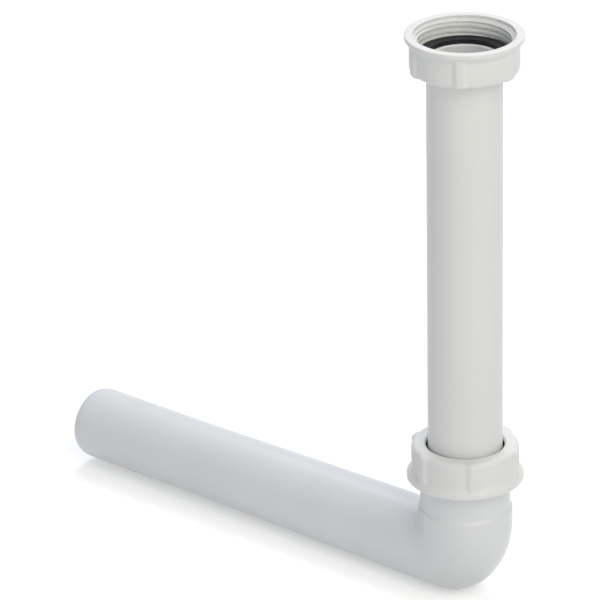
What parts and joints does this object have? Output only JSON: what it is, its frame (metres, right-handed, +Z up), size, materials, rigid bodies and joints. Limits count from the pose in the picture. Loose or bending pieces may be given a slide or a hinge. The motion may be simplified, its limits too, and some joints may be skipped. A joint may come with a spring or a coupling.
{
  "type": "waste pipe bend with tail tube and union nuts",
  "caption": "White plastic waste connection: a bend with a long outlet leg, a straight tail tube in its threaded socket, ribbed union nuts and rubber seals.",
  "frame": {"origin": "on the outlet leg's axis, where the plain spigot wall begins behind its drawn-in tip", "axes": "+Z up along the tail tube, -X out of the outlet leg"},
  "size_m": [0.2381, 0.0502, 0.2576],
  "materials": {
    "bend_plastic": "smooth satin moulded polypropylene",
    "tube_plastic": "smooth satin drawn polypropylene",
    "nut_plastic": "satin moulded polypropylene",
    "seal_rubber": "matte black rubber"
  },
  "bodies": {
    "bend": {"waste_bend": "bend_plastic"},
    "tube": {"tail_tube": "tube_plastic", "flat_washer": "seal_rubber"},
    "upper_nut": {"upper_union_nut": "nut_plastic"},
    "seal": {"cone_seal": "seal_rubber"},
    "lower_nut": {"lower_union_nut": "nut_plastic"}
  },
  "joints": [
    {"name": "tube_slide", "type": "slide", "parent": "bend", "child": "tube", "axis": [0, 0, 1], "range_m": [0, 0.06]},
    {"name": "upper_nut_turn", "type": "hinge", "parent": "tube", "child": "upper_nut", "pos_m": [0.209, 0, 0.2322], "axis": [0, 0, 1], "continuous": true},
    {"name": "seal_lift", "type": "slide", "parent": "bend", "child": "seal", "axis": [0, 0, 1], "range_m": [0, 0.0093]},
    {"name": "lower_nut_turn", "type": "hinge", "parent": "seal", "child": "lower_nut", "pos_m": [0.209, 0, 0.0454], "axis": [0, 0, 1], "range_deg": [0, 1440]}
  ],
  "couplings": [
    {"joint": "seal_lift", "follows": "lower_nut_turn", "m_per_rad": 0.00036749}
  ]
}
